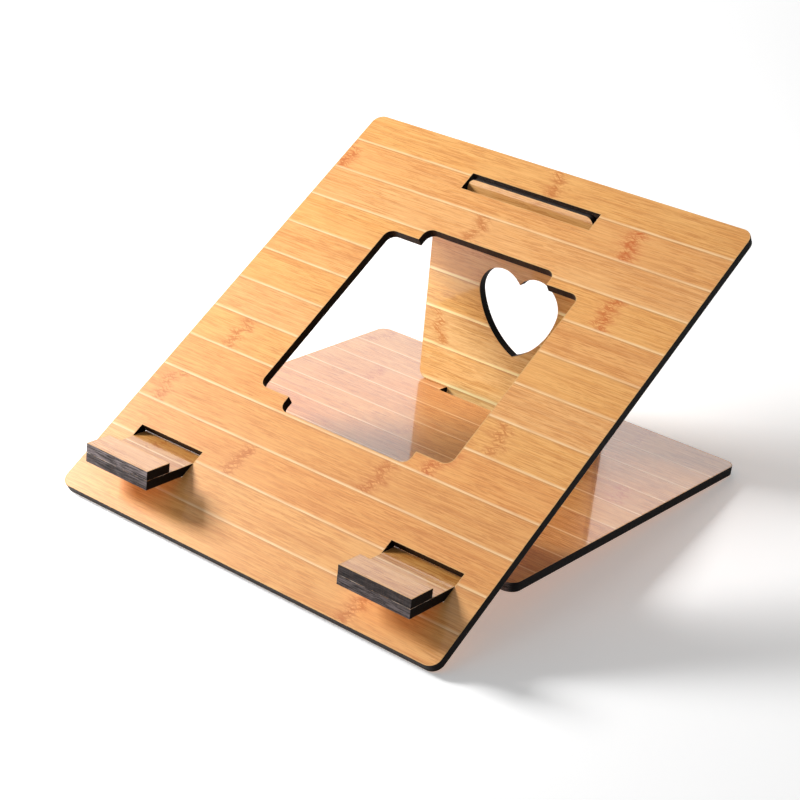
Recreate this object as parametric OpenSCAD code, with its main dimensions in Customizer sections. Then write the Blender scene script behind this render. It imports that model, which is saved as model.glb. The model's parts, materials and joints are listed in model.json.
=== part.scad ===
// Knock-down tablet stand cut from edge-glued bamboo board.
// Three boards slot together: a tray that holds the tablet, a base, and a leg that props the
// tray up. Two stop blocks are glued on the base's tongues, where they come out of the tray.
//
// Boards are drawn in the "bench" frame: the base lies level, x is across the stand, y runs
// back from the tray's front edge and z is up. stand() then tips everything so that the tray's
// lower front edge and the base's lower back edge both touch z = 0, as the stand does on a table.

/* [Board] */
// Thickness of every board
board_t = 5; // [4:0.5:6]
// Corner radius of the tray and the base
corner_r = 6; // [3:0.5:8]
// Corner radius inside the window and on the leg
cut_r = 5; // [3:0.5:6]
// Running gap between boards that slot together
gap = 0.2; // [0.15:0.05:0.4]

/* [Tray] */
// Width of the tray, and of the base
tray_w = 244; // [236:1:260]
// Length of the tray along its slope
tray_l = 280; // [276:1:300]
// Angle between the tray and the base
tray_angle = 34.2; // [33.5:0.1:34.6]
// Width of the tray's window
window_w = 124; // [123:0.5:128]
// Distance along the slope from the front edge to the window
window_from = 95.3; // [90:0.5:98]
// Height of the window between its shoulders, along the slope
window_l = 115; // [114.8:0.2:117]
// Depth of the recess at each end of the window, which takes the leg's tabs in storage
recess_d = 8.6; // [8.5:0.1:10]

/* [Slots] */
// Width of the slots that take the leg's tabs
slot_w = 83; // [82:0.5:86]
// Length of the slots that take the leg's tabs
slot_l = 11.6; // [11.6:0.1:12.4]
// Distance along the slope from the tray's front edge to its leg slot
tray_slot_from = 250; // [249.8:0.1:250.3]
// Distance from the front of the stand to the base's leg slot
base_slot_from = 207.3; // [206.8:0.1:207.5]

/* [Base] */
// Distance from the front of the stand to the base's front edge
base_from = 55; // [50:1:60]
// Distance from the front of the stand to the base's back edge
base_to = 256; // [250:1:262]
// Height of the base's underside above the tray's front edge, square to the base
base_rise = 21.7; // [21.7:0.1:22]
// Width of each tongue
tongue_w = 42.8; // [40:0.2:44]
// Distance of each tongue's middle from the centre line
tongue_x = 83.3; // [82:0.1:86]
// Distance from the front of the stand to the tongues' tips
tongue_tip = 1.2; // [0.5:0.1:3]

/* [Leg] */
// Width of the leg
leg_w = 122; // [118:0.5:122.5]
// Height of the leg between its shoulders
leg_h = 114.4; // [113.8:0.1:114.4]
// Width of the leg's tabs
tab_w = 81.4; // [78:0.2:82]
// Height of each tab
tab_h = 8.4; // [8:0.1:8.4]
// Distance from the front of the stand to the leg's front face at its foot
leg_from = 213.6; // [213.4:0.1:213.6]
// Lean of the leg towards the tray
leg_lean = 1; // [0.8:0.1:1.1]

/* [Heart cut-out] */
// Height of the heart's tip above the leg's lower shoulders
heart_tip = 32.2; // [28:0.2:40]
// Height of the middle of the heart's lobes above its tip
heart_lobe_rise = 33.2; // [28:0.2:36]
// Distance of the middle of each lobe from the centre line
heart_lobe_x = 11.6; // [10:0.1:13]
// Radius of the lobes
heart_lobe_r = 14.3; // [13.2:0.05:14.8]
// Radius of the long sides that run down to the tip
heart_side_r = 45; // [40:1:60]

/* [Stops] */
// Depth of the stop blocks from front to back
stop_d = 15.3; // [12:0.1:18]
// Thickness of the glue film under each stop block
glue_t = 0.2; // [0.1:0.05:0.3]

/* [Lamellae] */
// Width of the bamboo lamellae in the tray
tray_pitch = 21.8; // [21.6:0.1:21.9]
// Width of the bamboo lamellae in the base
base_pitch = 22.6; // [22.4:0.1:22.7]
// Width of the bamboo lamellae in the leg
leg_pitch = 21.6; // [21.4:0.1:21.7]

/* [Hidden] */
$fn = 64;
tray_first = 19.6;   // first seam behind the tray's front edge
base_first = 27.2;   // first seam on the base's tongues
leg_first = 0.6;     // first seam above the leg's lower shoulders
tray_seams = 12;
base_seams = 10;
leg_seams = 6;

// Edges of the lamellae: the board's ends with the seams between them.
function cuts(from, first, pitch, seams, to) =
    concat([from], [for (i = [0 : seams - 1]) first + i * pitch], [to]);
tray_cuts = cuts(0, tray_first, tray_pitch, tray_seams, tray_l);
base_cuts = cuts(tongue_tip, base_first, base_pitch, base_seams, base_to);
leg_cuts = cuts(-tab_h, leg_first, leg_pitch, leg_seams, leg_h + tab_h);

// Tongue slots: their edges just clear the tongue's top at the tray's underside and the
// tongue's underside at the tray's top, so they hold the tray at its working angle.
tongue_slot_to = (base_rise + board_t + gap) / sin(tray_angle);
tongue_slot_from = (base_rise - gap - board_t * cos(tray_angle)) / sin(tray_angle);
tongue_slot_w = tongue_w + 2 * gap;

// The tray's lower front edge in the bench frame, and the tip that rests the stand on a table.
front_y = board_t * sin(tray_angle);
stand_tilt = atan(base_rise / (base_to - front_y));
front_reach = board_t * cos(tray_angle) * sin(stand_tilt) - front_y * cos(stand_tilt);
back_reach = (base_to - front_y) * cos(stand_tilt) + (base_rise + board_t) * sin(stand_tilt);

// Centre of a heart's long side: a circle that the lobe's circle touches from inside, and that
// passes through the tip, found as the meeting point of two circles.
heart_to_lobe = norm([heart_lobe_x, heart_lobe_rise]);
heart_along = (heart_side_r ^ 2 - (heart_side_r - heart_lobe_r) ^ 2 + heart_to_lobe ^ 2)
    / (2 * heart_to_lobe);
heart_across = sqrt(heart_side_r ^ 2 - heart_along ^ 2);
heart_side_x = (heart_along * heart_lobe_x - heart_across * heart_lobe_rise) / heart_to_lobe;
heart_side_y = (heart_along * heart_lobe_rise + heart_across * heart_lobe_x) / heart_to_lobe;
// Height above the tip where the lobe and the long side meet
heart_meet = heart_side_y + (heart_lobe_rise - heart_side_y)
    * heart_side_r / (heart_side_r - heart_lobe_r);

function numbered(name, count) =
    [for (i = [1 : count]) str(name, i < 10 ? "0" : "", i)];
tray_nodes = numbered("tray_strip_", tray_seams + 1);
base_nodes = numbered("base_strip_", base_seams + 1);
leg_nodes = numbered("leg_strip_", leg_seams + 1);

// ---- placing ----

module stand() {
    translate([0, -(front_reach + back_reach) / 2, 0])
        rotate([-stand_tilt, 0, 0])
            translate([0, -front_y, 0])
                children();
}

module on_tray() {
    stand() translate([0, front_y, 0]) rotate([tray_angle, 0, 0]) children();
}

module on_base() {
    stand() translate([0, 0, base_rise]) children();
}

// The leg is drawn flat with its lower shoulders on y = 0, then stood on the base.
module on_leg() {
    stand()
        translate([0, leg_from + board_t, base_rise + board_t + gap])
            rotate([90 + leg_lean, 0, 0])
                children();
}

// ---- outlines ----

// Rectangle from y = 0 to h, centred on x, with round corners.
module round_rect(w, h, r) {
    translate([-w / 2, r]) square([w, h - 2 * r]);
    translate([r - w / 2, 0]) square([w - 2 * r, h]);
    for (x = [-1, 1], y = [r, h - r])
        translate([x * (w / 2 - r), y]) circle(r);
}

// Outline shared by the leg and the window that it was cut from.
module tabbed_rect(w, h, tab, tab_height) {
    round_rect(w, h, cut_r);
    translate([0, -tab_height]) round_rect(tab, h + 2 * tab_height, cut_r);
}

module both_sides(x) {
    for (side = [-1, 1]) translate([side * x, 0]) children();
}

module tray_outline() {
    difference() {
        round_rect(tray_w, tray_l, corner_r);
        translate([0, window_from]) tabbed_rect(window_w, window_l, slot_w, recess_d);
        translate([-slot_w / 2, tray_slot_from]) square([slot_w, slot_l]);
        both_sides(tongue_x)
            translate([-tongue_slot_w / 2, tongue_slot_from])
                square([tongue_slot_w, tongue_slot_to - tongue_slot_from]);
    }
}

module base_outline() {
    difference() {
        union() {
            translate([0, base_from]) round_rect(tray_w, base_to - base_from, corner_r);
            both_sides(tongue_x)
                translate([-tongue_w / 2, tongue_tip])
                    square([tongue_w, base_from + corner_r - tongue_tip]);
        }
        translate([-slot_w / 2, base_slot_from]) square([slot_w, slot_l]);
    }
}

module heart() {
    both_sides(heart_lobe_x) translate([0, heart_lobe_rise]) circle(heart_lobe_r);
    intersection() {
        translate([heart_side_x, heart_side_y]) circle(heart_side_r, $fn = 128);
        translate([-heart_side_x, heart_side_y]) circle(heart_side_r, $fn = 128);
        translate([-heart_side_r, -1]) square([2 * heart_side_r, heart_meet + 1]);
    }
}

module leg_outline() {
    difference() {
        tabbed_rect(leg_w, leg_h, tab_w, tab_h);
        translate([0, heart_tip]) heart();
    }
}

// ---- pieces ----

// One lamella: the part of a board's outline between two seams.
module lamella(from, to) {
    linear_extrude(board_t)
        intersection() {
            children();
            translate([-tray_w, from]) square([2 * tray_w, to - from]);
        }
}

// Neighbouring lamellae differ a little in colour.
module bamboo(i) {
    shade = 0.93 + 0.07 * cos(i * 97);
    color([0.87 * shade, 0.64 * shade, 0.38 * shade]) children();
}

module tray_strip(i) {
    bamboo(i) on_tray() lamella(tray_cuts[i], tray_cuts[i + 1]) tray_outline();
}

module base_strip(i) {
    bamboo(i + 3) on_base() lamella(base_cuts[i], base_cuts[i + 1]) base_outline();
}

module leg_strip(i) {
    bamboo(i + 5) on_leg() lamella(leg_cuts[i], leg_cuts[i + 1]) leg_outline();
}

// A slab on top of a tongue, flush with its tip: the glue film, and the block on it.
module on_tongue(side, z, t) {
    on_base()
        translate([side * tongue_x - tongue_w / 2, tongue_tip, board_t + z])
            cube([tongue_w, stop_d, t]);
}

module stop_block(side) {
    bamboo(2) on_tongue(side, glue_t, board_t);
}

module stop_glue(side) {
    color("wheat") on_tongue(side, 0, glue_t);
}

// ---- nodes ----

for (i = [0 : tray_seams]) {
    tray_strip(i);
}
for (i = [0 : base_seams]) {
    base_strip(i);
}
for (i = [0 : leg_seams]) {
    leg_strip(i);
}
stop_block(-1);  // left_stop_block
stop_block(1);  // right_stop_block
stop_glue(-1);  // left_stop_glue
stop_glue(1);  // right_stop_glue
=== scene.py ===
"""Looks of the knock-down bamboo tablet stand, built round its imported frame.

The lamellae of the three boards keep their CAD shapes and get a bamboo face each. New pieces
are the charred edge bands that follow every sawn outline, and the glue that shows round the
two stop blocks.
"""

import json
import math

import bpy
import numpy as np
from mathutils import Matrix, Vector

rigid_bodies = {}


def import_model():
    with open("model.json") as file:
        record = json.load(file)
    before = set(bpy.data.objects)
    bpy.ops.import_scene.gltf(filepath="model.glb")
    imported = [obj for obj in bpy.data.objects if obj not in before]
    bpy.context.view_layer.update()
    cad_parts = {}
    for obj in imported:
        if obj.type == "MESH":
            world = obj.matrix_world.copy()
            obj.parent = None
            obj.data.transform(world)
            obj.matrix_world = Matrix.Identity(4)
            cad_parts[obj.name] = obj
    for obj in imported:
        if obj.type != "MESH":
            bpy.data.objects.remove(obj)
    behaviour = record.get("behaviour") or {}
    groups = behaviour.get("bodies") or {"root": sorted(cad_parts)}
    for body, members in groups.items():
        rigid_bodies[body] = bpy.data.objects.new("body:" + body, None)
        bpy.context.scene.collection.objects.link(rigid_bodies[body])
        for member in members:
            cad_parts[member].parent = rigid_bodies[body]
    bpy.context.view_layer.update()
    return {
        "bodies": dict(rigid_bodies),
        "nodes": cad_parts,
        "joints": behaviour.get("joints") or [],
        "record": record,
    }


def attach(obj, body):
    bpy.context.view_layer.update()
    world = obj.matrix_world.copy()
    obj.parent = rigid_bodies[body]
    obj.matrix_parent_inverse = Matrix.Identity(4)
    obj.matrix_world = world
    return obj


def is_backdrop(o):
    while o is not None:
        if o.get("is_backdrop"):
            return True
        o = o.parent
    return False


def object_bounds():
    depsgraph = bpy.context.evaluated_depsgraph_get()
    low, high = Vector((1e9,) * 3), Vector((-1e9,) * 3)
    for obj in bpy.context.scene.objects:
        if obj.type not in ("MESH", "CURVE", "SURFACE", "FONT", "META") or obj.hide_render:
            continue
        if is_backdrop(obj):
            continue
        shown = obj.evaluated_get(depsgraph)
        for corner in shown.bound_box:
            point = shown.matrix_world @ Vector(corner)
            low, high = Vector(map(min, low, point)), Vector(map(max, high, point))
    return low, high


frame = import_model()

MM = 0.001
ACROSS = np.array([1.0, 0.0, 0.0])
SAME_PLACE = 2e-5           # metres within which two heights or lengths are the same

# Edge bands, in metres
EDGE_PROUD = 0.08 * MM      # how far a band stands off the sawn wall
EDGE_LIP = 0.40 * MM        # how far it laps over the board's faces
EDGE_RISE = 0.03 * MM       # how far the lap stands off the face
EDGE_ROUND = 0.30 * MM      # radius of the eased corner
EDGE_WALL = 0.60 * MM       # how far from either face the straight wall begins
EDGE_WALL_ROWS = 5
EDGE_STEP = 2.5 * MM        # longest stretch of a band between two rings
EDGE_WAVER = 0.025 * MM     # how much the burnt wall wavers
SMOOTH_UNDER = 35           # degrees: sharper corners of a new piece stay crisp

# Glue that came out from under the stop blocks
BEAD_RADIUS = 0.15 * MM
BEAD_SIDES = 10
BEAD_STEP = 0.5 * MM
BEAD_OUT = 0.02 * MM        # how far the bead's middle stands out of the film

# Grains of the bamboo's noise, per millimetre along, across and through the fibres
WANDER_GRAIN = (0.018, 0.09, 0.09)
BROAD_GRAIN = (0.010, 0.28, 0.28)
FIBRE_GRAIN = (0.030, 1.25, 1.25)
DASH_GRAIN = (0.085, 1.7, 1.7)
CLOUD_GRAIN = (0.022, 0.07, 0.07)
RAGGED_GRAIN = (0.05, 0.5, 0.5)
SWAY_GRAIN = (1, 0.16, 1)
STROKE_GRAIN = (0.20, 0.95, 0.95)
FEATHER_GRAIN = (0.11, 1.0, 1.0)
# The same for the char
STREAK_GRAIN = (1.6, 1.6, 0.12)
FLECK_GRAIN = (0.16, 0.9, 1.9)
PATCH_GRAIN = (0.09, 0.09, 0.5)

# How far a knuckle's strokes, its feathering and its paler patch reach, in millimetres
STROKES_REACH, FEATHER_REACH, GLOW_REACH = 4.4, 8.5, 9.0

# Millimetres from a lamella's front edge over which its pale seam line fades, and from its back
# edge over which the shade in front of the next seam comes up
CREAM_FADE = (0.5, 1.6)
SHADE_FADE = (1.3, 0.2)
# Millimetres under a board's faces over which the char of its walls gives way to bamboo
WALL_FADE = (0.06, 0.02)

# Bamboo knuckles of each lamella, counted from its board's front or foot: millimetres from the
# centre line, and how red the knuckle is from 0 to 1
TRAY_KNUCKLES = {
    1: [(69, 0.4)], 3: [(-43, 0.4)], 4: [(-109, 0.5), (34, 0.5)], 5: [(57, 0.8)],
    6: [(-95, 0.6), (76, 0.5)], 10: [(82, 0.9)], 11: [(-16, 0.4)], 12: [(67, 1.0), (-120, 0.8)],
    13: [(8, 0.5)],
}
BASE_KNUCKLES = {
    2: [(-88, 0.4)], 4: [(31, 0.5)], 5: [(-57, 0.4)], 6: [(12, 0.3)], 7: [(-20, 0.5)],
    8: [(102, 1.0)], 9: [(-80, 0.6)], 10: [(38, 0.3)], 11: [(71, 0.6), (-114, 0.5)],
}
LEG_KNUCKLES = {3: [(-50, 0.6)], 6: [(44, 0.5)]}

# What a tone does to the board's tint, and the tones of each board's lamellae in order
# The palest tone, given to the leg's lowest three lamellae, is painted light that falls on the
# lower leg
TONES = {"plain": (1, 1, 1), "russet": (0.98, 0.93, 0.86), "golden": (1.02, 1.05, 0.98),
         "pale": (1.02, 1.06, 1.16), "blond": (1.07, 1.19, 1.50), "ruddy": (0.97, 0.82, 0.82)}
TRAY_TONES = "plain plain russet russet russet golden pale golden plain golden pale plain golden"
BASE_TONES = "plain golden plain russet plain russet golden plain pale pale plain"
# The leg's lowest three lamellae are painted paler as the light falling on the lower leg; its top
# lamella's ruddy tone takes back most of the warm light painted into the leg's tint
LEG_TONES = "blond blond blond golden russet golden ruddy"

# Colours, linear
HONEY = (0.77, 0.345, 0.083)
PALE_HONEY = (0.87, 0.465, 0.15)
AMBER = (0.56, 0.195, 0.034)
KNUCKLE_RED = (0.62, 0.155, 0.022)
KNUCKLE_TAN = (0.49, 0.172, 0.024)
SEAM_CREAM = (0.95, 0.66, 0.36)
SEAM_SHADE = (0.50, 0.22, 0.075)
CHAR = (0.003, 0.002, 0.002)
CHAR_BROWN = (0.030, 0.015, 0.010)
ASH = (0.24, 0.195, 0.195)
# Painted highlight: a pale cream line along each sawn edge's lap and eased corner
PAINTED_EDGE_HIGHLIGHT = (0.72, 0.42, 0.17)
GLUE = (0.55, 0.46, 0.38)
SMOKED_GLUE = (0.34, 0.26, 0.20)

# Softboxes, in metres and watts: place, side and power. All face a point over the base.
LIT_POINT = Vector((0, 0, 0.05))
SOFTBOXES = {
    "key": ((-0.95, -0.27, 0.50), 0.27, 19.5),
    "low_left": ((-0.80, -0.55, 0.10), 0.18, 1.2),
    "front": ((-0.25, -0.90, 0.95), 0.50, 0.8),
    "behind": ((-0.90, 1.25, 0.60), 1.2, 6.0),
}
# How bright the surroundings are at the far left and the far right
SKY_LEFT, SKY_RIGHT = 0.40, 0.06


# ---- boards ----

class Board:
    """A board's own axes: x across it, v along it from its front or foot, and n through it from
    its underside or back.

    run is the direction of v in the frame. The origin is where the nodes' least v and least n
    meet the centre line, so every size here comes from the nodes' own meshes.
    """

    def __init__(self, nodes, run):
        self.nodes = nodes
        self.run = np.array(run, float)
        self.axes = np.array([ACROSS, self.run, np.cross(ACROSS, self.run)])
        corners = np.vstack([vertices(node) for node in nodes]) @ self.axes.T
        self.origin = np.array([0, corners[:, 1].min(), corners[:, 2].min()])
        self.thickness = np.ptp((vertices(nodes[-1]) @ self.axes.T)[:, 2])

    def local(self, points):
        return points @ self.axes.T - self.origin

    def world(self, points):
        return (points + self.origin) @ self.axes

    def span(self, node):
        """Where a lamella starts and ends along the board."""
        v = self.local(vertices(node))[:, 1]
        return v.min(), v.max()


def vertices(node):
    mesh = frame["nodes"][node].data
    flat = np.empty(len(mesh.vertices) * 3, np.float32)
    mesh.vertices.foreach_get("co", flat)
    return flat.reshape(-1, 3).astype(float)


def triangles(node):
    mesh = frame["nodes"][node].data
    mesh.calc_loop_triangles()
    flat = np.empty(len(mesh.loop_triangles) * 3, np.int32)
    mesh.loop_triangles.foreach_get("vertices", flat)
    return vertices(node)[flat.reshape(-1, 3)]


def outlines(board):
    """The closed outlines of a board, largest first, each as points (x, v) in the order that
    keeps the board on the left.

    A wall triangle with two corners on the top face gives one stretch of outline. Walls on the
    seams between lamellae are left out, and the stretches are joined end to nearest start.
    """
    seams = [board.span(node)[1] for node in board.nodes[:-1]]
    top = max(board.local(vertices(node))[:, 2].max() for node in board.nodes)
    stretches = []
    for node in board.nodes:
        corners = board.local(triangles(node))
        normal = np.cross(corners[:, 1] - corners[:, 0], corners[:, 2] - corners[:, 0])
        normal /= np.linalg.norm(normal, axis=1, keepdims=True) + 1e-18
        on_top = np.abs(corners[:, :, 2] - top) < SAME_PLACE
        wall = (np.abs(normal[:, 2]) < 0.1) & (on_top.sum(1) == 2)
        for seam in seams:
            wall &= ~(np.abs(corners[:, :, 1] - seam) < SAME_PLACE).all(1)
        ends = corners[wall][on_top[wall]].reshape(-1, 2, 3)[:, :, :2]
        along = ends[:, 1] - ends[:, 0]
        turned = along[:, 1] * normal[wall][:, 0] - along[:, 0] * normal[wall][:, 1] < 0
        ends[turned] = ends[turned][:, ::-1]
        stretches.append(ends)
    ends = np.concatenate(stretches)
    follower = np.linalg.norm(ends[:, None, 1] - ends[None, :, 0], axis=2).argmin(1)
    loops, left = [], set(range(len(ends)))
    while left:
        walk = [min(left)]
        while follower[walk[-1]] in left - {walk[0]} and follower[walk[-1]] not in walk:
            walk.append(follower[walk[-1]])
        left -= set(walk)
        loops.append(ends[walk, 0])
    return sorted(loops, key=lambda loop: -np.ptp(loop, axis=0).prod())


# ---- meshes ----

def piece(name, points, faces, body, material):
    """A new piece from its points and faces, riding on a body."""
    mesh = bpy.data.meshes.new(name)
    mesh.from_pydata(points.tolist(), [], faces.tolist())
    mesh.materials.append(material)
    mesh.polygons.foreach_set("use_smooth", np.ones(len(faces), bool))
    mesh.set_sharp_from_angle(angle=math.radians(SMOOTH_UNDER))
    obj = bpy.data.objects.new(name, mesh)
    bpy.context.scene.collection.objects.link(obj)
    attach(obj, body)
    return obj


def tube_faces(rings, sides):
    """Faces of a closed ring of rings: each quad joins two neighbours on a ring with the same
    two on the next ring, and both counts wrap round."""
    ring, side = np.meshgrid(np.arange(rings), np.arange(sides), indexing="ij")
    after, beside = (ring + 1) % rings, (side + 1) % sides
    quads = np.stack([ring * sides + side, after * sides + side,
                      after * sides + beside, ring * sides + beside], -1)
    return quads.reshape(-1, 4)


def stepped(loop, step):
    """A closed path with points added so that no stretch is longer than step."""
    ahead = np.roll(loop, -1, axis=0)
    counts = np.maximum(1, np.ceil(np.linalg.norm(ahead - loop, axis=1) / step)).astype(int)
    start = np.repeat(loop, counts, axis=0)
    stretch = np.repeat(ahead - loop, counts, axis=0)
    first = np.repeat(np.cumsum(counts) - counts, counts)
    share = (np.arange(counts.sum()) - first) / np.repeat(counts, counts)
    return start + stretch * share[:, None]


def mitres(path):
    """At each point, the way out of the board: the sum of the two walls' outward normals over
    one plus their dot product, so that an offset keeps its distance round a corner."""
    along = np.roll(path, -1, axis=0) - path
    along /= np.linalg.norm(along, axis=1, keepdims=True)
    after = np.stack([along[:, 1], -along[:, 0]], -1)
    before = np.roll(after, 1, axis=0)
    return (after + before) / (1 + (after * before).sum(1, keepdims=True))


def edge_profile(t):
    """The section of an edge band on a board of thickness t, as rows of (distance out of the
    wall, height), with how much of each row is charred. It goes down round the outside and back
    up inside the board: a lap on the top face, a quarter circle, the wall, the same below, and
    an inner face that closes it."""
    turn = np.radians([90, 65, 40, 15])
    out = EDGE_PROUD - EDGE_ROUND + EDGE_ROUND * np.cos(turn)
    up = t + EDGE_RISE - EDGE_ROUND + EDGE_ROUND * np.sin(turn)
    wall = np.linspace(t - EDGE_WALL, EDGE_WALL, EDGE_WALL_ROWS)
    outs = np.concatenate([[-EDGE_LIP], out, np.full(EDGE_WALL_ROWS, EDGE_PROUD), out[::-1],
                           [-EDGE_LIP], [-EDGE_LIP - EDGE_PROUD] * 2])
    ups = np.concatenate([[t + EDGE_RISE * 0.5], up, wall, t - up[::-1], [-EDGE_RISE * 0.5],
                          [EDGE_ROUND, t - EDGE_ROUND]])
    # Rows with little char, the lap and the top of the eased corner, get the painted cream
    # highlight
    corner = [0, 0, 0.25, 0.8, 1]
    char = np.concatenate([corner, np.ones(EDGE_WALL_ROWS), corner[::-1], [0, 0]])
    return outs, ups, char


def edge_band(name, board, loop, body, material):
    """A band round one outline: the edge profile carried along it, mitred at its corners. The
    rows on the wall waver by the sum of two sines of the distance along."""
    path = stepped(loop, EDGE_STEP)
    way_out = mitres(path)
    outs, ups, char = edge_profile(board.thickness)
    along = np.arange(len(path)) * EDGE_STEP / MM
    waver = EDGE_WAVER * (np.sin(along * 1.7) + np.sin(along * 0.61 + 2)) / 2
    outs = outs[None, :] + waver[:, None] * (char == 1)[None, :]
    flat = path[:, None, :] + way_out[:, None, :] * outs[:, :, None]
    heights = np.broadcast_to(ups, outs.shape)[:, :, None]
    points = board.world(np.concatenate([flat, heights], 2).reshape(-1, 3))
    band = piece(name, points, tube_faces(len(path), len(ups))[:, ::-1], body, material)
    burn = band.data.attributes.new("charred", "FLOAT", "POINT")
    burn.data.foreach_set("value", np.tile(char, len(path)).astype(np.float32))


def glue_bead(name, film, loop, body, material):
    """A bead of glue along a film's outline: a circle carried round it at half the film's
    thickness, whose radius swells and thins as the sum of three sines of the distance along."""
    path = stepped(loop, BEAD_STEP)
    way_out = mitres(path)
    along = np.arange(len(path)) * BEAD_STEP / MM
    swell = np.sin(along * 0.83) + np.sin(along * 0.37 + 1) + 0.8 * np.sin(along * 2.1 + 4)
    radius = BEAD_RADIUS * (0.72 + 0.24 * swell)
    turn = np.linspace(0, 2 * np.pi, BEAD_SIDES, endpoint=False)
    outs = radius[:, None] * np.cos(turn) + BEAD_OUT
    flat = path[:, None, :] + way_out[:, None, :] * outs[:, :, None]
    heights = (film.thickness / 2 + radius[:, None] * np.sin(turn))[:, :, None]
    points = film.world(np.concatenate([flat, heights], 2).reshape(-1, 3))
    piece(name, points, tube_faces(len(path), BEAD_SIDES), body, material)


# ---- material nodes ----

class Finish:
    """A material and short ways to add its nodes. Each way returns the socket that it makes."""

    def __init__(self, name):
        self.material = bpy.data.materials.new(name)
        self.material.use_nodes = True
        self.tree = self.material.node_tree
        self.tree.nodes.clear()
        self.shader = self.tree.nodes.new("ShaderNodeBsdfPrincipled")
        end = self.tree.nodes.new("ShaderNodeOutputMaterial")
        self.tree.links.new(self.shader.outputs[0], end.inputs[0])

    def set(self, **values):
        for name, value in values.items():
            self.join(value, self.shader.inputs[name.replace("_", " ")])

    def join(self, value, socket):
        if isinstance(value, bpy.types.NodeSocket):
            self.tree.links.new(value, socket)
        elif hasattr(socket.default_value, "__len__") and len(socket.default_value) == 4:
            socket.default_value = (*value, 1.0)
        else:
            socket.default_value = value

    def add(self, kind, inputs, output=0, **settings):
        node = self.tree.nodes.new("ShaderNode" + kind)
        for name, value in settings.items():
            setattr(node, name, value)
        for name, value in inputs.items():
            self.join(value, node.inputs[name])
        return node.outputs[output]

    def placed(self, board, start=0.0):
        """Object coordinates turned into a board's own axes, in millimetres from v = start."""
        origin = -(board.origin + np.array([0, start, 0])) / MM
        slope = math.atan2(board.run[2], board.run[1])
        where = self.add("TexCoord", {}, 3)
        return self.add("Mapping", {0: where, 1: Vector(origin), 2: (-slope, 0, 0),
                                    3: (1 / MM, 1 / MM, 1 / MM)})

    def parts(self, vector):
        node = self.tree.nodes.new("ShaderNodeSeparateXYZ")
        self.tree.links.new(vector, node.inputs[0])
        return list(node.outputs)

    def together(self, x, y, z):
        return self.add("CombineXYZ", {0: x, 1: y, 2: z})

    def sum(self, a, b):
        return self.add("Math", {0: a, 1: b}, operation="ADD")

    def times(self, a, b):
        return self.add("Math", {0: a, 1: b}, operation="MULTIPLY")

    def most(self, a, b):
        return self.add("Math", {0: a, 1: b}, operation="MAXIMUM")

    def bell(self, value, width):
        """One where value is 0, falling to 0 away from it: e to the minus (value / width)
        squared."""
        share = self.times(value, 1 / width)
        squared = self.times(share, share)
        return self.add("Math", {0: math.e, 1: self.times(squared, -1)}, operation="POWER")

    def ease(self, value, start, end, low=0.0, high=1.0):
        """Goes smoothly from low to high as value goes from start to end."""
        inputs = {0: value, 1: start, 2: end, 3: low, 4: high}
        return self.add("MapRange", inputs, interpolation_type="SMOOTHSTEP")

    def noise(self, vector, stretch, detail, rough, shift=0.0, swirl=0.0):
        """Noise whose grain is 1 / stretch of the vector's own units along each axis."""
        spot = self.add("Mapping", {0: vector, 1: (shift, shift * 0.7, shift * 0.3), 3: stretch})
        inputs = {"Vector": spot, "Scale": 1.0, "Detail": detail, "Roughness": rough,
                  "Distortion": swirl}
        return self.add("TexNoise", inputs)

    def blend(self, share, a, b, way="MIX"):
        return self.add("Mix", {0: share, 6: a, 7: b}, 2, data_type="RGBA", blend_type=way)

    def relief(self, height, depth, strength):
        inputs = {"Height": height, "Distance": depth, "Strength": strength}
        return self.add("Bump", inputs)


# ---- finishes ----

def lacquer(finish):
    """A clear glossy coat."""
    finish.set(Specular_IOR_Level=0.5, Coat_Weight=1.0, Coat_Roughness=0.06, Coat_IOR=1.5)


def knuckle(finish, colour, place, at, redness, width, seed):
    """The scar of a culm's joint: a band across the lamella, on a paler patch. Short strokes that
    lean either way off the fibres make its middle, and longer ones along them feather it out."""
    x, w, _ = finish.parts(place)
    sway = finish.noise(finish.together(0.0, w, 0.0), SWAY_GRAIN, 2, 0.5, seed)
    lean = finish.times(finish.sum(w, -width / 2), 0.22 * math.sin(seed * 5))
    off = finish.sum(finish.sum(finish.sum(x, -at), lean), finish.ease(sway, 0.2, 0.8, -4, 4))
    strokes = 0.0
    for turn in (0.5, -0.5):
        turned = finish.add("Mapping", {0: place, 2: (0, 0, turn)})
        leaning = finish.noise(turned, STROKE_GRAIN, 2, 0.6, seed + 5 + turn, 0.2)
        strokes = finish.most(strokes, finish.ease(leaning, 0.46, 0.62))
    long_streaks = finish.noise(place, FEATHER_GRAIN, 3, 0.65, seed + 3, 0.3)
    heart = finish.times(finish.bell(off, STROKES_REACH), strokes)
    feather = finish.times(finish.bell(off, FEATHER_REACH), finish.ease(long_streaks, 0.46, 0.62))
    glow = finish.times(finish.bell(finish.sum(off, -2.0), GLOW_REACH), 0.6)
    tone = tuple(np.array(KNUCKLE_TAN) * (1 - redness) + np.array(KNUCKLE_RED) * redness)
    colour = finish.blend(glow, colour, PALE_HONEY)
    colour = finish.blend(finish.times(feather, 0.45 + 0.35 * redness), colour, tone)
    return finish.blend(finish.times(heart, 0.70 + 0.30 * redness), colour, tone)


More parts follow.
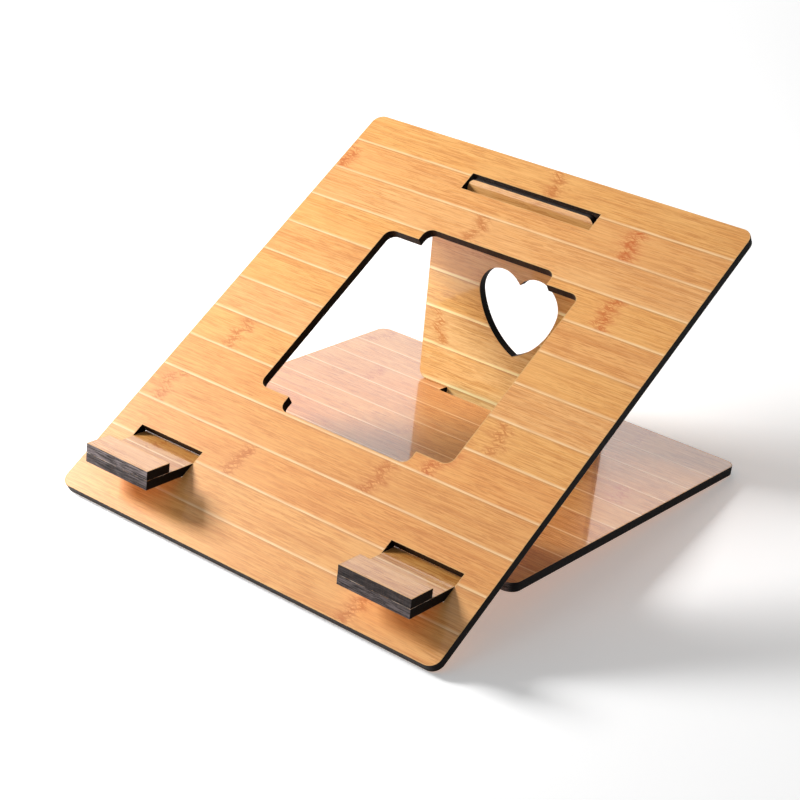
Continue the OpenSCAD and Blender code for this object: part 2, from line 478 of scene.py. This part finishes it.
def bamboo(name, board, start, width, knuckles, seed, look, tint, ends):
    """Lacquered bamboo, for one lamella that starts at v = start and is width millimetres wide.

    Fibres run across the board in three grains, and clouds of a paler honey lie over them. look
    gives how strong the grain and the seams are, and ends says whether a seam shows at the
    lamella's front and back. Between the faces the board is charred.
    """
    grain, seam = look
    finish = Finish(name)
    place = finish.placed(board, start)
    x, w, n = finish.parts(place)
    wander = finish.noise(place, WANDER_GRAIN, 1, 0.5, seed + 9)
    strayed = finish.sum(w, finish.ease(wander, 0.2, 0.8, -0.4, 0.4))
    fibre_place = finish.together(x, strayed, n)
    broad = finish.noise(fibre_place, BROAD_GRAIN, 2, 0.5, seed)
    fibres = finish.noise(fibre_place, FIBRE_GRAIN, 4, 0.72, seed + 1)
    dashes = finish.noise(fibre_place, DASH_GRAIN, 3, 0.7, seed + 2)
    cloud = finish.noise(place, CLOUD_GRAIN, 2, 0.5, seed + 4)

    colour = finish.blend(finish.ease(fibres, 0.40, 0.60), PALE_HONEY, HONEY)
    colour = finish.blend(finish.ease(broad, 0.48, 0.72, 0.0, 0.38 * grain), colour, AMBER)
    colour = finish.blend(finish.ease(dashes, 0.48, 0.60, 0.0, 0.62 * grain), colour, AMBER)
    colour = finish.blend(finish.ease(cloud, 0.45, 0.70, 0.0, 0.40), colour, PALE_HONEY)
    for number, (at, redness) in enumerate(knuckles):
        colour = knuckle(finish, colour, place, at, redness, width, seed + 11 * number)
    colour = finish.blend(1.0, colour, tint, "MULTIPLY")

    ragged = finish.ease(finish.noise(place, RAGGED_GRAIN, 2, 0.5, seed + 6), 0.3, 0.7, 0.6, 1.0)
    if ends[0]:
        line = finish.ease(w, CREAM_FADE[0] * seam, CREAM_FADE[1] * seam, 0.80 * seam, 0.0)
        cream = tuple(np.minimum(1.0, np.array(SEAM_CREAM) * (0.3 + 0.7 * seam)))
        colour = finish.blend(finish.times(line, ragged), colour, cream)
    if ends[1]:
        line = finish.ease(w, width - SHADE_FADE[0], width - SHADE_FADE[1], 0.0, 0.40 * seam)
        colour = finish.blend(finish.times(line, ragged), colour, SEAM_SHADE)

    middle = board.thickness / MM / 2
    inside = finish.add("Math", {0: finish.sum(n, -middle)}, operation="ABSOLUTE")
    wall = finish.ease(inside, middle - WALL_FADE[0], middle - WALL_FADE[1], 1.0, 0.0)
    colour = finish.blend(wall, colour, CHAR_BROWN)
    rough = finish.ease(fibres, 0.3, 0.7, 0.34, 0.46)
    groove = finish.times(finish.bell(w, 0.25), -0.5) if ends[0] else 0.0
    height = finish.sum(finish.sum(finish.times(fibres, 0.6), finish.times(dashes, 0.4)), groove)
    finish.set(Base_Color=colour, Roughness=finish.sum(rough, finish.times(wall, 0.3)),
               Normal=finish.relief(height, 0.06 * MM, 0.5))
    lacquer(finish)
    return finish.material


def charred(name, board, ashy):
    """A laser-cut edge: a painted cream highlight on its lap and eased corner, then charcoal with
    streaks through the board's thickness. Where the cut runs along the fibres paler ash is drawn
    out along it, and where it
    crosses them the end grain is burnt black. ashy is how much of the former is ash."""
    finish = Finish(name)
    place = finish.placed(board)
    burn = finish.add("Attribute", {}, 2, attribute_name="charred")
    facing = finish.parts(finish.add("TexCoord", {}, 1))[0]
    end_grain = finish.ease(finish.add("Math", {0: facing}, operation="ABSOLUTE"), 0.25, 0.80)
    streaks = finish.noise(place, STREAK_GRAIN, 3, 0.6)
    flecks = finish.noise(place, FLECK_GRAIN, 3, 0.6, 5.0)
    patches = finish.noise(place, PATCH_GRAIN, 2, 0.5, 8.0)
    colour = finish.blend(finish.ease(streaks, 0.40, 0.70), CHAR, CHAR_BROWN)
    ash = finish.times(finish.ease(flecks, 0.32, 0.72), finish.ease(patches, 0.3, 0.7, 0.6, 1.0))
    colour = finish.blend(finish.times(ash, ashy), colour, ASH)
    colour = finish.blend(end_grain, colour, CHAR)
    edge = finish.sum(burn, finish.ease(streaks, 0.3, 0.7, -0.18, 0.18))
    # Painted highlight: the lap and the top of the eased corner turn pale cream where the band is
    # least charred
    colour = finish.blend(finish.ease(edge, 0.30, 0.62), PAINTED_EDGE_HIGHLIGHT, colour)
    height = finish.sum(finish.times(streaks, 0.6), finish.times(flecks, 0.4))
    rough = finish.sum(finish.ease(flecks, 0.3, 0.7, 0.42, 0.58), finish.times(end_grain, 0.2))
    finish.set(Base_Color=colour, Roughness=rough, Normal=finish.relief(height, 0.10 * MM, 0.7),
               Specular_IOR_Level=0.15)
    return finish.material


def dried_glue():
    """Wood glue: pale and satin with small lumps, and smoked brown in patches."""
    finish = Finish("dried_glue")
    where = finish.add("TexCoord", {}, 3)
    lumps = finish.noise(where, (900, 900, 900), 3, 0.6)
    smoke = finish.noise(where, (130, 130, 130), 2, 0.5, 3.0)
    colour = finish.blend(finish.ease(lumps, 0.35, 0.7), GLUE, SMOKED_GLUE)
    colour = finish.blend(finish.ease(smoke, 0.42, 0.56), colour, CHAR_BROWN)
    finish.set(Base_Color=colour, Roughness=finish.ease(lumps, 0.3, 0.7, 0.35, 0.55),
               Normal=finish.relief(lumps, 0.05 * MM, 0.5))
    return finish.material


# ---- pieces ----

def dress(node, material):
    """Gives a CAD node its material."""
    slots = frame["nodes"][node].data.materials
    slots.clear()
    slots.append(material)


def board_strips(board, knuckles, tones, draws, seed, look, tint):
    """Dresses a board's lamellae. Each has its own grain and tone, and drifts a little from it."""
    for number, (node, tone) in enumerate(zip(board.nodes, tones.split()), 1):
        start, end = board.span(node)
        light = 1 + 0.02 * draws.uniform(-1, 1)
        warm = 0.015 * draws.uniform(-1, 1)
        drift = tuple(np.array(tint) * TONES[tone] * light * (1 + warm, 1.0, 1 - 1.5 * warm))
        glued = (number > 1, number < len(board.nodes))
        dress(node, bamboo(node + "_bamboo", board, start, (end - start) / MM,
                           knuckles.get(number, ()), seed + 3.7 * number, look, drift, glued))


def board_edges(board, body, kinds, material):
    """Runs a charred band round each of a board's outlines. kinds names them, largest first."""
    for kind, loop in zip(kinds, outlines(board)):
        edge_band(f"{body}_edge_{kind}", board, loop, body, material)


def stop(side, tint, ashy, seed):
    """A stop block's bamboo and charred edge, its glue film, and the glue round its foot."""
    block, film = side + "_stop_block", side + "_stop_glue"
    own = Board([block], base.run)
    end = own.span(block)[1] / MM
    look, seamless = (1.8, 1.0), (False, False)
    dress(block, bamboo(block + "_bamboo", own, 0.0, end, (), seed, look, tint, seamless))
    edge_band(side + "_stop_edge", own, outlines(own)[0], "base",
              charred(side + "_stop_char", own, ashy))
    dress(film, glue_finish)
    foot = Board([film], base.run)
    glue_bead(side + "_stop_glue_bead", foot, outlines(foot)[0], "base", glue_finish)


# ---- stage ----

def floor():
    """A plain pale floor just under the stand."""
    half = 6.0
    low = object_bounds()[0].z - 0.02 * MM
    corners = [(-half, -half, low), (half, -half, low), (half, half, low), (-half, half, low)]
    mesh = bpy.data.meshes.new("floor")
    mesh.from_pydata(corners, [], [(0, 1, 2, 3)])
    finish = Finish("pale_floor")
    finish.set(Base_Color=(0.93, 0.93, 0.93), Roughness=0.9, Specular_IOR_Level=0.1,
               Emission_Color=(1, 1, 1), Emission_Strength=0.27)
    mesh.materials.append(finish.material)
    obj = bpy.data.objects.new("floor", mesh)
    bpy.context.scene.collection.objects.link(obj)
    obj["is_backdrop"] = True


def softbox(name, place, size, power):
    """A square area light that faces the lit point."""
    data = bpy.data.lights.new(name, "AREA")
    data.shape, data.size, data.energy = "SQUARE", size, power
    light = bpy.data.objects.new(name, data)
    bpy.context.scene.collection.objects.link(light)
    light.location = place
    light.rotation_euler = (LIT_POINT - Vector(place)).to_track_quat("-Z", "Y").to_euler()


def studio():
    """White surroundings that fade from left to right, and the softboxes."""
    world = bpy.data.worlds.new("studio")
    world.use_nodes = True
    tree = world.node_tree
    direction = tree.nodes.new("ShaderNodeTexCoord")
    sides = tree.nodes.new("ShaderNodeSeparateXYZ")
    fade = tree.nodes.new("ShaderNodeMapRange")
    fade.inputs["From Min"].default_value, fade.inputs["From Max"].default_value = -1, 1
    fade.inputs["To Min"].default_value, fade.inputs["To Max"].default_value = SKY_LEFT, SKY_RIGHT
    tree.links.new(direction.outputs["Generated"], sides.inputs[0])
    tree.links.new(sides.outputs["X"], fade.inputs[0])
    tree.nodes["Background"].inputs["Color"].default_value = (1, 1, 1, 1)
    tree.links.new(fade.outputs[0], tree.nodes["Background"].inputs["Strength"])
    bpy.context.scene.world = world
    bpy.context.scene.view_settings.view_transform = "Standard"
    for name, (place, size, power) in SOFTBOXES.items():
        softbox(name, place, size, power)


def camera():
    """A long lens to the right of the front, rolled slightly."""
    azimuth, elevation, roll = math.radians(38.36), math.radians(27.16), math.radians(2.59)
    aim = Vector((-15.5, 12.3, 37.1)) * MM
    away = 1048.5 * MM
    right = Vector((math.cos(azimuth), math.sin(azimuth), 0))
    back = Vector((math.sin(azimuth) * math.cos(elevation),
                   -math.cos(azimuth) * math.cos(elevation), math.sin(elevation)))
    up = back.cross(right)
    across = right * math.cos(roll) + up * math.sin(roll)
    above = up * math.cos(roll) - right * math.sin(roll)
    data = bpy.data.cameras.new("camera")
    data.lens, data.sensor_width = 90.55, 36.0
    obj = bpy.data.objects.new("camera", data)
    bpy.context.scene.collection.objects.link(obj)
    turn = Matrix((across, above, back)).transposed().to_4x4()
    obj.matrix_world = Matrix.Translation(aim + back * away) @ turn
    bpy.context.scene.camera = obj


# ---- the stand ----

mounts = {mount["name"]: mount for mount in frame["record"]["mounts"]}
joints = {joint["name"]: joint for joint in frame["joints"]}
strips = {body: sorted(node for node in frame["nodes"] if node.startswith(body + "_strip"))
          for body in frame["bodies"]}
tray = Board(strips["tray"], np.cross(mounts["tray_face"]["axis"], ACROSS))
base = Board(strips["base"], mounts["left_stop_face"]["axis"])
leg = Board(strips["leg"], joints["leg_lift"]["axis"])

draws = np.random.default_rng(11)
board_strips(tray, TRAY_KNUCKLES, TRAY_TONES, draws,
             seed=0.0, look=(0.9, 1.08), tint=(1.03, 0.985, 1.02))
board_strips(base, BASE_KNUCKLES, BASE_TONES, draws,
             seed=60.0, look=(1.7, 1.0), tint=(0.82, 0.75, 0.72))
# The leg's tint is partly its own yellower bamboo and partly painted warm light that brightens the
# whole leg
board_strips(leg, LEG_KNUCKLES, LEG_TONES, draws,
             seed=120.0, look=(1.2, 1.5), tint=(0.97, 1.16, 1.24))

glue_finish = dried_glue()
tray_outlines = ("outer", "window", "leg_slot", "tongue_slot_a", "tongue_slot_b")
board_edges(tray, "tray", tray_outlines, charred("tray_char", tray, 0.05))
board_edges(base, "base", ("outer", "leg_slot"), charred("base_char", base, 0.8))
board_edges(leg, "leg", ("outer", "heart"), charred("leg_char", leg, 0.05))
stop("left", tint=(0.95, 0.98, 1.30), ashy=1.6, seed=200.0)
stop("right", tint=(0.88, 0.86, 0.92), ashy=0.30, seed=230.0)

floor()
studio()
camera()
